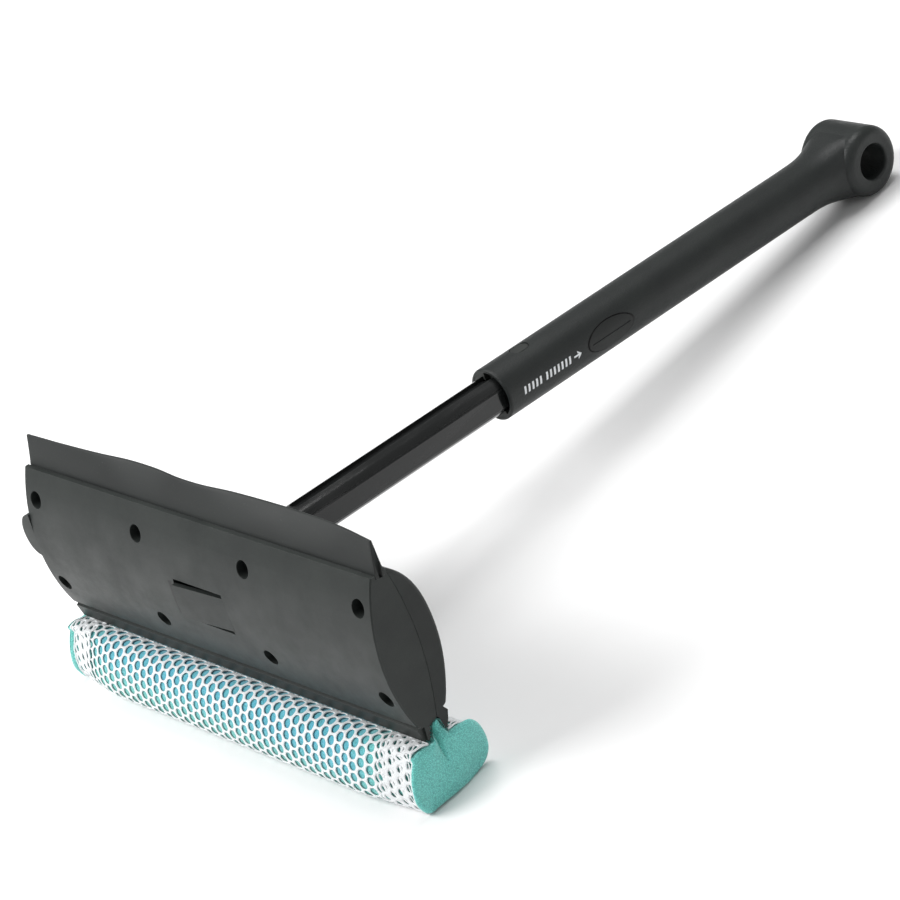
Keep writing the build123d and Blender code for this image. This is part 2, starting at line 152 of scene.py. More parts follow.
# ---------------------------------------------------------------------------------- materials
class Look:
    """A Principled material with helpers to add its colour, roughness and relief."""

    def __init__(self, name, colour, roughness, **sockets):
        self.material = bpy.data.materials.new(name)
        self.material.use_nodes = True
        self.tree = self.material.node_tree
        self.shader = self.tree.nodes["Principled BSDF"]
        self.shader.inputs["Base Color"].default_value = (*colour, 1)
        self.shader.inputs["Roughness"].default_value = roughness
        for socket, value in sockets.items():
            self.shader.inputs[socket.replace("_", " ")].default_value = value
        self.coordinates = self.add("ShaderNodeTexCoord").outputs["Object"]

    def add(self, kind, **settings):
        node = self.tree.nodes.new(kind)
        for key, value in settings.items():
            setattr(node, key, value)
        return node

    def link(self, source, target):
        self.tree.links.new(source, target)

    def noise(self, scale, detail=3.0, roughness=0.55, stretch=None):
        """Noise of a grain given in millimetres."""
        node = self.add("ShaderNodeTexNoise")
        node.inputs["Scale"].default_value = 1 / (scale * MM)
        node.inputs["Detail"].default_value = detail
        node.inputs["Roughness"].default_value = roughness
        self.link(self.stretched(stretch), node.inputs["Vector"])
        return node.outputs["Fac"]

    def stretched(self, stretch):
        """Object coordinates turned to the handle's directions and scaled."""
        if stretch is None:
            return self.coordinates
        node = self.add("ShaderNodeMapping")
        node.inputs["Rotation"].default_value = (math.atan2(-along[2], along[1]), 0, 0)
        node.inputs["Scale"].default_value = stretch
        self.link(self.coordinates, node.inputs["Vector"])
        return node.outputs["Vector"]

    def cells(self, scale):
        node = self.add("ShaderNodeTexVoronoi")
        node.inputs["Scale"].default_value = 1 / (scale * MM)
        self.link(self.coordinates, node.inputs["Vector"])
        return node.outputs["Distance"]

    def span(self, source, low, high, to_low, to_high):
        node = self.add("ShaderNodeMapRange", clamp=True)
        for socket, value in (("From Min", low), ("From Max", high), ("To Min", to_low), ("To Max", to_high)):
            node.inputs[socket].default_value = value
        self.link(source, node.inputs["Value"])
        return node.outputs["Result"]

    def mix(self, share, a, b):
        """Colour between a and b, each a colour or a socket."""
        node = self.add("ShaderNodeMix", data_type="RGBA")
        self.link(share, node.inputs[0])
        for socket, value in ((node.inputs[6], a), (node.inputs[7], b)):
            if isinstance(value, bpy.types.NodeSocket):
                self.link(value, socket)
            else:
                socket.default_value = (*value, 1)
        return node.outputs[2]

    def colour(self, source):
        self.link(source, self.shader.inputs["Base Color"])

    def rough(self, source):
        self.link(source, self.shader.inputs["Roughness"])

    def relief(self, *layers):
        """Bumps from (height socket, depth in millimetres, strength) layers."""
        below = None
        for source, depth, strength in layers:
            node = self.add("ShaderNodeBump")
            node.inputs["Distance"].default_value = depth * MM
            node.inputs["Strength"].default_value = strength
            self.link(source, node.inputs["Height"])
            if below:
                self.link(below, node.inputs["Normal"])
            below = node.outputs["Normal"]
        self.link(below, self.shader.inputs["Normal"])

    def measured(self, axis, offset=0.0):
        """Millimetres along x, a or u (axis 0, 1 or 2), less an offset."""
        along_axis = self.add("ShaderNodeVectorMath", operation="DOT_PRODUCT")
        along_axis.inputs[1].default_value = tuple(axes[axis] / MM)
        self.link(self.coordinates, along_axis.inputs[0])
        node = self.add("ShaderNodeMath", operation="SUBTRACT")
        node.inputs[1].default_value = float(start @ axes[axis]) / MM + offset
        self.link(along_axis.outputs["Value"], node.inputs[0])
        return node.outputs["Value"]

    def product(self, *factors):
        result = factors[0]
        for factor in factors[1:]:
            node = self.add("ShaderNodeMath", operation="MULTIPLY")
            self.link(result, node.inputs[0])
            self.link(factor, node.inputs[1])
            result = node.outputs["Value"]
        return result

    def band(self, source, low, high, soft):
        """1 between low and high, falling to 0 within soft outside them."""
        return self.product(
            self.span(source, low - soft, low, 0.0, 1.0), self.span(source, high, high + soft, 1.0, 0.0)
        )

    def edge_wear(self, radius=0.45):
        """0 on open surfaces, 1 along worn edges, broken up by noise."""
        bevel = self.add("ShaderNodeBevel", samples=4)
        bevel.inputs["Radius"].default_value = radius * MM
        geometry = self.add("ShaderNodeNewGeometry")
        dot = self.add("ShaderNodeVectorMath", operation="DOT_PRODUCT")
        self.link(bevel.outputs["Normal"], dot.inputs[0])
        self.link(geometry.outputs["Normal"], dot.inputs[1])
        edge = self.span(dot.outputs["Value"], 0.97, 0.8, 0.0, 1.0)
        patchy = self.span(self.noise(2.2), 0.42, 0.62, 0.25, 1.0)
        return self.product(edge, patchy)


def button_gap_shade(look):
    """Painted shade in the oval gap round the button, on the button's side of the grip."""
    squares = []
    for source, half in (
        (look.measured(1, BUTTON_A), BUTTON_HALF_LENGTH), (look.measured(2), BUTTON_HALF_WIDTH),
    ):
        node = look.add("ShaderNodeMath", operation="DIVIDE")
        node.inputs[1].default_value = half
        look.link(source, node.inputs[0])
        squares.append(look.product(node.outputs["Value"], node.outputs["Value"]))
    total = look.add("ShaderNodeMath", operation="ADD")
    look.link(squares[0], total.inputs[0])
    look.link(squares[1], total.inputs[1])
    oval = look.band(total.outputs["Value"], 0.94, 1.05, 0.05)
    near_side = look.span(look.measured(0), 8, 9, 0, 1)
    return look.product(oval, near_side)


def tongue_gap_shade(look):
    """Painted shadow on the face beside the free end of the snap tongue."""
    beside_end = look.band(look.measured(0), -19.6, -18.4, 1.2)
    tongue_height = look.band(look.measured(2), -16.0, 1.6, 0.3)
    return look.product(beside_end, tongue_height)


def moulded(name, dark, light, roughness, grain, depth, worn, scratches=True, painted_shade=None):
    """Moulded plastic: fine sparked grain, faint flow patches, scuffs, lighter worn edges and, where a mask is
    given, painted shade.
    """
    look = Look(name, dark, roughness, IOR=1.48, Specular_IOR_Level=0.3)
    patches = look.span(look.noise(26.0, 4.0), 0.35, 0.68, 0.0, 1.0)
    base = look.mix(patches, dark, light)
    fine = look.noise(grain, 2.0, 0.6)
    base = look.mix(look.span(fine, 0.35, 0.75, 0.0, 0.35), base, tuple(1.5 * c for c in light))
    base = look.mix(look.edge_wear(), base, worn)
    # painted shade: the colour goes near black where the given mask marks a gap's shadow
    if painted_shade:
        base = look.mix(look.span(painted_shade(look), 0.0, 1.0, 0.0, 0.85), base, (0.002, 0.002, 0.002))
    look.colour(base)
    smears = look.span(look.noise(14.0, 5.0, 0.65, (1.0, 0.25, 1.0)), 0.3, 0.7, -0.07, 0.08)
    node = look.add("ShaderNodeMath", operation="ADD")
    node.inputs[1].default_value = roughness
    look.link(smears, node.inputs[0])
    look.rough(node.outputs["Value"])
    layers = [(fine, depth, 0.5), (look.cells(grain * 1.7), depth, 0.25)]
    if scratches:
        layers.append((look.noise(1.6, 2.0, 0.5, (1.0, 0.05, 1.0)), depth * 0.6, 0.12))
    look.relief(*layers)
    return look.material


def shaft_look():
    """Glossy black drawn plastic, with fine lines along it and rubbed places."""
    look = Look("shaft_gloss", (0.012, 0.013, 0.013), 0.16, IOR=1.5, Specular_IOR_Level=0.35,
                Coat_Weight=0.2, Coat_Roughness=0.07)
    lines = look.noise(1.1, 2.0, 0.5, (1.0, 0.008, 1.0))
    rubbed = look.span(look.noise(9.0, 4.0, 0.6, (1.0, 0.12, 1.0)), 0.45, 0.75, 0.0, 1.0)
    base = look.mix(rubbed, (0.010, 0.011, 0.011), (0.022, 0.023, 0.023))
    look.colour(look.mix(look.edge_wear(0.3), base, (0.06, 0.062, 0.06)))
    look.rough(look.span(rubbed, 0.0, 1.0, 0.13, 0.27))
    look.relief((lines, 0.05, 0.22), (look.noise(0.35, 1.0), 0.01, 0.2))
    return look.material


def rubber_look():
    """Blade rubber: dull dark grey with bloom, a paler worn lip and mould lines along it."""
    look = Look("blade_rubber", (0.03, 0.032, 0.031), 0.6, IOR=1.5, Specular_IOR_Level=0.3)
    bloom = look.span(look.noise(18.0, 5.0, 0.6, (0.4, 1.0, 1.0)), 0.35, 0.7, 0.0, 1.0)
    base = look.mix(bloom, (0.015, 0.017, 0.0165), (0.023, 0.026, 0.025))
    dust = look.span(look.noise(0.9, 2.0, 0.7), 0.66, 0.74, 0.0, 0.5)
    base = look.mix(dust, base, (0.06, 0.063, 0.061))
    look.colour(look.mix(look.edge_wear(0.5), base, (0.04, 0.043, 0.042)))
    look.rough(look.span(bloom, 0.0, 1.0, 0.5, 0.66))
    look.relief((look.noise(0.4, 2.0), 0.03, 0.3), (look.noise(2.5, 3.0, 0.5, (0.15, 1.0, 1.0)), 0.12, 0.12))
    return look.material


def foam_look():
    """Open-cell foam, blue in the middle of its front and teal elsewhere, by the blue attribute."""
    look = Look("foam_cells", (0.1, 0.5, 0.46), 0.93, Subsurface_Weight=0.25, Subsurface_Scale=0.004,
                Sheen_Weight=0.35, Sheen_Roughness=0.6)
    look.shader.inputs["Subsurface Radius"].default_value = (0.6, 1.0, 1.0)
    blue = look.add("ShaderNodeAttribute", attribute_name="blue").outputs["Fac"]
    shade = look.add("ShaderNodeAttribute", attribute_name="shade").outputs["Fac"]
    base = look.mix(blue, (0.20, 0.71, 0.64), (0.06, 0.42, 0.68))
    base = look.mix(shade, base, (0.10, 0.42, 0.33))
    mottle = look.span(look.noise(7.0, 4.0), 0.3, 0.7, 0.0, 0.35)
    base = look.mix(mottle, base, (0.26, 0.78, 0.75))
    pores = look.cells(0.62)
    pits = look.span(pores, 0.25, 0.6, 0.0, 0.6)
    holes = look.span(look.noise(1.1, 2.0, 0.7), 0.58, 0.70, 0.0, 0.75)
    base = look.mix(pits, base, (0.055, 0.34, 0.31))
    look.colour(look.mix(holes, base, (0.03, 0.24, 0.22)))
    look.relief((pores, 0.35, 0.55), (look.noise(0.5, 3.0, 0.7), 0.3, 0.5))
    return look.material


def net_look():
    """Knitted white yarn: fine twisted fibres, a little grey in the hollows."""
    look = Look("net_yarn", (0.82, 0.84, 0.85), 0.72, Subsurface_Weight=0.2, Subsurface_Scale=0.0015,
                Sheen_Weight=0.4, Sheen_Roughness=0.4)
    look.shader.inputs["Subsurface Radius"].default_value = (1.0, 1.0, 1.0)
    fibre = look.noise(0.35, 3.0, 0.65, (1.0, 0.35, 0.6))
    twist = look.noise(0.7, 2.0, 0.6)
    base = look.mix(look.span(fibre, 0.3, 0.7, 0.0, 1.0), (0.74, 0.78, 0.80), (0.93, 0.94, 0.95))
    look.colour(look.mix(look.span(twist, 0.55, 0.75, 0.0, 0.4), base, (0.72, 0.76, 0.78)))
    look.relief((fibre, 0.18, 0.45), (twist, 0.2, 0.35))
    return look.material


def metal_look(name, colour, roughness):
    look = Look(name, colour, roughness, Metallic=1.0)
    tone = look.span(look.noise(3.0, 4.0), 0.3, 0.7, 0.0, 1.0)
    look.colour(look.mix(tone, colour, tuple(0.6 * c for c in colour)))
    look.rough(look.span(look.noise(1.2, 3.0), 0.3, 0.7, roughness - 0.08, roughness + 0.12))
    look.relief((look.noise(0.3, 2.0), 0.01, 0.4))
    return look.material


def ink_look():
    look = Look("print_ink", (0.78, 0.8, 0.82), 0.55)
    worn = look.span(look.noise(0.5, 3.0, 0.7), 0.56, 0.7, 0.0, 0.5)
    look.colour(look.mix(worn, (0.8, 0.82, 0.84), (0.3, 0.31, 0.31)))
    look.relief((look.noise(0.3, 2.0), 0.02, 0.4))
    return look.material


# the head, grip and button plastics carry painted shade beside the snap tongue and round the button
face_plastic = moulded("head_plastic", (0.017, 0.020, 0.019), (0.024, 0.028, 0.026), 0.44, 0.33, 0.035,
                       (0.055, 0.061, 0.058), painted_shade=tongue_gap_shade)
back_plastic = moulded("back_plastic", (0.013, 0.015, 0.014), (0.019, 0.022, 0.021), 0.46, 0.33, 0.035,
                       (0.045, 0.05, 0.048))
grip_plastic = moulded("grip_plastic", (0.014, 0.016, 0.016), (0.020, 0.023, 0.022), 0.43, 0.6, 0.24,
                       (0.038, 0.042, 0.040), painted_shade=button_gap_shade)
button_plastic = moulded("button_plastic", (0.013, 0.014, 0.014), (0.018, 0.020, 0.019), 0.5, 0.4, 0.04,
                         (0.045, 0.05, 0.048), painted_shade=button_gap_shade)
guide_plastic = moulded("guide_plastic", (0.022, 0.024, 0.023), (0.03, 0.033, 0.031), 0.45, 0.3, 0.02,
                        (0.07, 0.075, 0.072), scratches=False)
shaft_plastic = shaft_look()
rubber = rubber_look()
foam_cells = foam_look()
net_yarn = net_look()
zinc = metal_look("screw_zinc", (0.10, 0.10, 0.105), 0.42)
spring_steel = metal_look("spring_steel", (0.55, 0.55, 0.54), 0.3)
ink = ink_look()

for node, material in (
    ("front_shell", face_plastic), ("rear_shell", back_plastic), ("shell_screws", zinc),
    ("shaft", shaft_plastic), ("shaft_end_guide", guide_plastic), ("guide_bushing", guide_plastic),
    ("grip_tube", grip_plastic), ("release_button", button_plastic), ("latch_yoke", guide_plastic),
):
    cad = frame["nodes"][node]
    cad.data.materials.clear()
    cad.data.materials.append(material)

# -------------------------------------------------------------------------------------- blade
BLADE_FOOT_U, BLADE_BASE_U, BLADE_TIP_U = 31.7, 34.2, 48.7
BLADE_MIDDLE, BLADE_HALF, BLADE_TIP_HALF = 1.0, 126.3, 125.1
FRONT_A, FRONT_LEAN, FRONT_RISE = 8.6, 2.5, 14.3  # the wedge's front, from its base to the lip
REAR_LIP_A, REAR_LEAN, REAR_RISE = 12.3, 1.3, 14.2
WEDGE_POWER = 0.85  # how hollow the wedge's sides are
NECK_FRONT_A, NECK_REAR_A, NECK_U = 10.1, 12.3, 30.0
BEAD_A, BEAD_U, BEAD_RADIUS, BEAD_HALF = 11.2, 27.2, 2.4, 125.0
BOW_POWER, LIP_DROP = 1.7, 0.12
# how far the lip bows back from straight, along the blade
lip_x = [-124.6, -98.8, -69.0, -48.6, -29.3, -8.0, 6.4, 25.6, 45.9, 73.0, 102.0, 127.0]
lip_bow = [0.1, 0.9, 2.6, 4.5, 4.4, 2.6, 2.7, 4.6, 5.5, 5.7, 4.2, 0.6]


def through(xs, ys, x):
    """A smooth curve through the points, at x."""
    slopes = np.gradient(ys, xs)
    i = np.clip(np.searchsorted(xs, x) - 1, 0, len(xs) - 2)
    xs, ys = np.asarray(xs), np.asarray(ys)
    step = xs[i + 1] - xs[i]
    t = (x - xs[i]) / step
    return (
        (2 * t**3 - 3 * t**2 + 1) * ys[i] + (t**3 - 2 * t**2 + t) * step * slopes[i]
        + (3 * t**2 - 2 * t**3) * ys[i + 1] + (t**3 - t**2) * step * slopes[i + 1]
    )


def make_blade():
    """The wedge, its foot and its bead, swept along the head while the lip bows."""
    rise = np.linspace(0, 1, 12)
    front = [(FRONT_A + FRONT_LEAN * t**WEDGE_POWER, BLADE_BASE_U + FRONT_RISE * t) for t in rise]
    lip = [(11.25, 48.78), (11.7, 48.8), (12.15, 48.68)]
    rear = [
        (REAR_LIP_A + REAR_LEAN * (1 - t) ** WEDGE_POWER, BLADE_BASE_U + REAR_RISE * t) for t in rise[::-1]
    ]
    bead = [
        (BEAD_A + BEAD_RADIUS * math.cos(w), BEAD_U + BEAD_RADIUS * math.sin(w))
        for w in np.radians(np.linspace(62, -242, 15))
    ]
    foot = [(13.5, BLADE_FOOT_U), (NECK_REAR_A, BLADE_FOOT_U), (NECK_REAR_A, NECK_U)] + bead
    foot += [(NECK_FRONT_A, NECK_U), (NECK_FRONT_A, BLADE_FOOT_U), (FRONT_A, BLADE_FOOT_U)]
    outline = np.array(front + lip + rear + foot)
    count = len(outline)
    stations = np.linspace(-1, 1, 141)
    points = []
    for s in stations:
        a, u = outline[:, 0].copy(), outline[:, 1].copy()
        height = np.clip((u - BLADE_BASE_U) / (BLADE_TIP_U - BLADE_BASE_U), 0, 1.02)
        x = BLADE_MIDDLE + s * (BLADE_HALF - (BLADE_HALF - BLADE_TIP_HALF) * height)
        x = np.where(u < BLADE_FOOT_U, np.clip(x, -BEAD_HALF, BEAD_HALF), x)
        bow = through(lip_x, lip_bow, np.clip(x, lip_x[0], lip_x[-1]))
        a += bow * height**BOW_POWER
        u -= LIP_DROP * bow * height**2
        points.append(place(x, a, u))
    faces = capped_rings(len(stations), count)
    blade = mesh_piece("blade_lip", np.concatenate(points), faces, rubber, "head")
    edges = blade.modifiers.new("edges", "BEVEL")
    edges.width, edges.segments, edges.limit_method = 0.25 * MM, 2, "ANGLE"
    edges.angle_limit = math.radians(50)
    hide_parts("squeegee_blade")


make_blade()

# --------------------------------------------------------------------------------------- foam
FOAM_CENTRE = np.array([14.0, -64.0])  # a, u
FOAM_LEFT, FOAM_RIGHT = -129.4, 130.0
NET_LEFT, NET_RIGHT = -124.4, 127.0
DRAWN_LEFT, DRAWN_RIGHT = 6.0, 4.4  # how far the roll's front is drawn in by each end
FOAM_EDGE = 1.7  # rounding of the foam's ends
END_SET_BACK = 0.6
DOME, DOME_RADIUS = 1.3, 20.0  # swelling of each end's middle
PINCH = 3.2  # how far the flap between the jaws is drawn back from the ends
WRINKLE = 0.35
FLARE = 2.4  # of the rear lobe, past the net
SWELL_UNDER, SWELL_MORE = 0.4, 1.2  # past the net, under the roll and how much more above
LUMP = 0.05
OUTLINE_COUNT = 240


def section_outline(node, count):
    """Outline of a CAD node's end face, as evenly spaced (a, u) points in order round the centre."""
    points = own([v.co for v in frame["nodes"][node].data.vertices])
    end = points[points[:, 0] > points[:, 0].max() - 0.05][:, 1:]
    end = np.unique(end.round(3), axis=0)
    turn = np.arctan2(*(end - FOAM_CENTRE).T[::-1])
    end = end[np.argsort(turn)]
    return resampled(np.vstack([end, end[:1]]), count, closed=True)


def resampled(line, count, closed=False):
    """The line's points, spaced evenly along it."""
    run = np.concatenate([[0], np.cumsum(np.linalg.norm(np.diff(line, axis=0), axis=1))])
    want = np.linspace(0, run[-1], count + 1)[:-1] if closed else np.linspace(0, run[-1], count)
    return np.stack([np.interp(want, run, line[:, k]) for k in (0, 1)], -1)


def softened(loop, rounds):
    """The closed loop with each point moved towards its neighbours."""
    for _ in range(rounds):
        loop = 0.5 * loop + 0.25 * (np.roll(loop, 1, 0) + np.roll(loop, -1, 0))
    return loop


foam_loop = softened(section_outline("sponge_foam", OUTLINE_COUNT), 2)


def outward(loop):
    """Normals of the closed loop, pointing away from its inside."""
    tangent = np.roll(loop, -1, 0) - np.roll(loop, 1, 0)
    normal = np.stack([tangent[:, 1], -tangent[:, 0]], -1)
    return normal / np.linalg.norm(normal, axis=1)[:, None]


foam_normal = outward(foam_loop)
# the fold between the slab's two halves, seen on each end
crease = np.array([(14.9, -42.0), (14.2, -47.5), (13.4, -54.0), (13.6, -60.0), (14.3, -64.5)])


def drawn_in(x, a, u):
    """How far the roll's front moves along the handle by each end: in at mid height, out at its foot."""
    amount = np.where(np.asarray(x) < 0, DRAWN_LEFT, DRAWN_RIGHT) * smooth_step(88.0, 127.0, np.abs(x))
    waist = smooth_step(9.0, -5.0, a) * smooth_step(-85.0, -74.0, u) * smooth_step(-50.0, -55.5, u)
    foot = smooth_step(12.0, 1.0, a) * smooth_step(-77.0, -84.0, u)
    return amount * (waist - 0.5 * foot)


def crease_depth(a, u):
    """Depth of the fold at points of the end, a little less on the side where the foam leans over it."""
    line = resampled(crease, 60)
    gap = np.stack([np.subtract.outer(a, line[:, 0]), np.subtract.outer(u, line[:, 1])], -1)
    distance = np.linalg.norm(gap, axis=-1)
    nearest = distance.argmin(-1)
    d = distance.min(-1)
    t = nearest / (len(line) - 1)
    side = np.take_along_axis(gap[..., 0], nearest[..., None], -1)[..., 0]
    sharp = np.exp(-((d / 0.7) ** 2)) * 2.2 + np.exp(-((d / 3.2) ** 2)) * 1.6
    lean = 0.7 * np.exp(-((d / 4.0) ** 2)) * np.sign(side) * smooth_step(0.0, 1.2, d)
    return (sharp - lean) * (1 - smooth_step(0.35, 1.0, t))


def distance_to_outline(loop):
    """How far inside the foam's outline each point of an end lies."""
    ends = np.roll(foam_loop, -1, 0) - foam_loop
    gap = loop[:, None, :] - foam_loop[None, :, :]
    share = np.clip((gap * ends).sum(-1) / (ends**2).sum(-1), 0, 1)
    return np.linalg.norm(gap - share[..., None] * ends, axis=-1).min(1)


def make_foam():
    """The roll in rings along the head, with rings that close each end. All follow the CAD outline."""
    # inset of each ring of an end from the outline
    insets = FOAM_EDGE * (1 - np.cos(np.linspace(0, math.pi / 2, 7)))
    radius = np.linalg.norm(foam_loop - FOAM_CENTRE, axis=1)
    cap_shares = np.linspace(1, 0.02, 26)[1:]
    shoulder = FOAM_EDGE + 0.7
    held = (NET_LEFT + 0.4, NET_RIGHT - 0.4)
    stations = np.concatenate([
        np.linspace(FOAM_LEFT + shoulder, held[0], 5)[:-1],
        np.linspace(*held, 130),
        np.linspace(held[1], FOAM_RIGHT - shoulder, 5)[1:],
    ])
    lumps = rng.uniform(0, 2 * math.pi, (6, 2))

    def uneven(x, loop):
        """Slight unevenness of the roll, up to a few tenths of a millimetre."""
        total = np.zeros(len(loop))
        for k, (p, q) in enumerate(lumps):
            total += np.sin(x / (9 + 4 * k) + p) * np.sin(loop[:, 0] / 9 + loop[:, 1] / (6 + k) + q)
        return LUMP * total

    def swollen(x, loop, share=1.0):
        """The outline loop at x, swollen where the net no longer holds it in."""
        edge = NET_LEFT if x < 0 else NET_RIGHT
        free = smooth_step(abs(edge) - 0.3, abs(edge) + 1.4, abs(x))
        flare = FLARE * smooth_step(18.0, 31.0, loop[:, 0]) * smooth_step(-84.0, -72.0, loop[:, 1])
        swell = SWELL_UNDER + SWELL_MORE * smooth_step(-82.0, -73.0, loop[:, 1])[:, None]
        out = loop + foam_normal * swell * free * share**6 * body_part
        shift = flare * free * body_part[:, 0] + drawn_in(x, loop[:, 0], loop[:, 1])
        return out + np.stack([shift, 0 * shift], -1) * share

    def cap(side, reach_out):
        """Rings from the edge of one end to its middle."""
        shares = [1 - np.minimum(inset / radius, 0.9) for inset in insets]
        shares += [shares[-1] * s for s in cap_shares]
        out = []
        for share in shares:
            share = share[:, None]
            flat = FOAM_CENTRE + (foam_loop - FOAM_CENTRE) * share
            depth = np.minimum(distance_to_outline(flat), FOAM_EDGE)
            back = FOAM_EDGE - np.sqrt(FOAM_EDGE**2 - (FOAM_EDGE - depth) ** 2)
            reach = np.linalg.norm(flat - FOAM_CENTRE, axis=1)
            loop = swollen(side * reach_out, flat, share)
            pinch = PINCH * smooth_step(-53.0, -46.5, loop[:, 1])
            dome = DOME * (1 - np.minimum(reach / DOME_RADIUS, 1) ** 2)
            fold = crease_depth(loop[:, 0], loop[:, 1]) * smooth_step(0.2, 1.4, depth)
            wrinkle = WRINKLE * np.sin(loop[:, 0] / 4.1 + side) * np.sin(loop[:, 1] / 5.3)
            x = reach_out - END_SET_BACK - back + dome - pinch - fold + wrinkle
            out.append(place(side * x, loop[:, 0], loop[:, 1]))
        return out

    # the flap between the jaws doesn't swell
    body_part = 1 - smooth_step(-53.5, -50.5, foam_loop[:, 1])[:, None]
    rings = cap(-1, -FOAM_LEFT)[::-1]
    for x in stations:
        loop = swollen(x, foam_loop) + foam_normal * uneven(x, foam_loop)[:, None] * body_part
        rings.append(place(x, loop[:, 0], loop[:, 1]))
    rings += cap(1, FOAM_RIGHT)
    points = np.concatenate(rings)
    faces = capped_rings(len(rings), OUTLINE_COUNT)
    foam = mesh_piece("foam_roll", points, faces, foam_cells, "head")
    # blue high on the front away from the ends, a deeper teal below it
    x, a, u = own(points).T
    middle = 1 - smooth_step(86, 116, np.abs(x + 3))
    high = smooth_step(-73.0, -57.0, u + 0.05 * x)
    low = 1 - smooth_step(-78, -64, u)
    inside = (x > FOAM_LEFT + 5) * (x < FOAM_RIGHT - 5)
    for name, values in (("blue", middle * high * inside), ("shade", 0.75 * middle * low)):
        attribute = foam.data.attributes.new(name, "FLOAT", "POINT")
        attribute.data.foreach_set("value", values.astype(np.float32))
    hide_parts("sponge_foam")


make_foam()

# ---------------------------------------------------------------------------------------- net
COLUMN = 5.1  # spacing of the net's columns of holes along the head
HOLE_HALF_X, HOLE_HALF_S = 2.15, 2.3
STRAND_HEIGHTS = (0.44, 0.54, 0.34)  # of a strand's middle, side and hole edge above the foam
STRAND_THICK = 0.28
HEM = 22.0
HEM_HOLE_X, HEM_HOLE_S = 1.75, 2.0
HEM_HEIGHTS = (0.78, 0.95, 0.66)
HEM_THICK = 0.25
EDGE_RADIUS_X, EDGE_RADIUS_UP, EDGE_HEIGHT = 0.55, 0.5, 0.72
JAW_REAR, JAW_FRONT = (20.4, -51.1), (8.4, -51.5)  # where the net goes in between the jaws
WELD = 2e-5


def net_path():
    """The net's way round the roll, from the rear jaw under it to the front jaw."""
    first = np.linalg.norm(foam_loop - JAW_REAR, axis=1).argmin()
    last = np.linalg.norm(foam_loop - JAW_FRONT, axis=1).argmin()
    order = np.arange(first, first - OUTLINE_COUNT, -1) % OUTLINE_COUNT
    stop = int(np.where(order == last)[0][0])
    return foam_loop[order[: stop + 1]]


path = resampled(net_path(), 400)
path_run = np.concatenate([[0], np.cumsum(np.linalg.norm(np.diff(path, axis=0), axis=1))])
tangent = np.gradient(path, axis=0)
path_normal = np.stack([-tangent[:, 1], tangent[:, 0]], -1)
path_normal /= np.linalg.norm(path_normal, axis=1)[:, None]
NET_LENGTH = path_run[-1]
ROWS = round(NET_LENGTH / 5.3)
PITCH = NET_LENGTH / ROWS
if (path_normal[200] * (path[200] - FOAM_CENTRE)).sum() < 0:
    path_normal *= -1


def on_roll(x, s, height):
    """Points at s along the net's path and height above the foam."""
    s = np.clip(s, 0, NET_LENGTH)
    base = np.stack([np.interp(s, path_run, path[:, k]) for k in (0, 1)], -1)
    away = np.stack([np.interp(s, path_run, path_normal[:, k]) for k in (0, 1)], -1)
    at = base + away * np.asarray(height)[..., None]
    return place(x, at[..., 0] + drawn_in(x, base[..., 0], base[..., 1]), at[..., 1])


# a cell of the knit round each hole: six corners, then points along its sides
corner_near = (COLUMN**2 - (PITCH / 2) ** 2) / (2 * COLUMN)
hexagon = np.array([
    (corner_near, PITCH / 2), (-corner_near, PITCH / 2), (corner_near - COLUMN, 0),
    (-corner_near, -PITCH / 2), (corner_near, -PITCH / 2), (COLUMN - corner_near, 0),
])
SIDE_STEPS = 3
rim = np.concatenate([
    hexagon[k] + (hexagon[(k + 1) % 6] - hexagon[k]) * np.linspace(0, 1, SIDE_STEPS + 1)[:-1, None]
    for k in range(6)
])
rim_turn = np.arctan2(rim[:, 1], rim[:, 0])


def make_net(centres, half_x, half_s, heights, jitter, limit, shift=0.0):
    """Points and faces of a knitted net of round holes, uneven by the jitter and kept between the limits."""
    count = len(rim)
    points, faces = [], []
    drift = rng.normal(0, 1, (len(centres), 4))
    for k, (cx, cs, holed) in enumerate(centres):
        dx, ds, wx, ws = drift[k] * jitter
        hx, hs = half_x * (1 + wx * 0.5), half_s * (1 + ws * 0.5)
        round_hole = np.stack([np.cos(rim_turn) * hx + dx, np.sin(rim_turn) * hs + ds], -1)
        if not holed:
            round_hole = rim * 0.02
        middle = 0.5 * rim + 0.5 * round_hole
        first = len(points) * count
        for ring, height in ((rim, heights[0]), (middle, heights[1]), (round_hole, heights[2])):
            x = np.clip(cx + ring[:, 0], limit[0], limit[1])
            points.append(on_roll(x, cs + shift + ring[:, 1], np.full(count, height)))
        faces += [(a, d, c, b) for a, b, c, d in ring_faces(3, count, first)]
        if not holed:
            faces.append([first + 2 * count + i for i in range(count)])
    return merged(np.concatenate(points), faces, WELD)


def lattice(low, high, offset=0.0):
    """Centres of the cells between low and high along the head, and whether each has its hole."""
    centres = []
    column = math.ceil((low - offset) / COLUMN)
    while column * COLUMN + offset <= high:
        x = column * COLUMN + offset
        if column % 2:
            centres += [(x, j * PITCH, 0 < j < ROWS) for j in range(ROWS + 1)]
        else:
            centres += [(x, (j + 0.5) * PITCH, True) for j in range(ROWS)]
        column += 1
    return centres


def thicken(piece, depth):
    """The piece with its faces made that many millimetres thick."""
    solid = piece.modifiers.new("yarn", "SOLIDIFY")
    solid.thickness, solid.offset = depth * MM, -1.0
    return piece


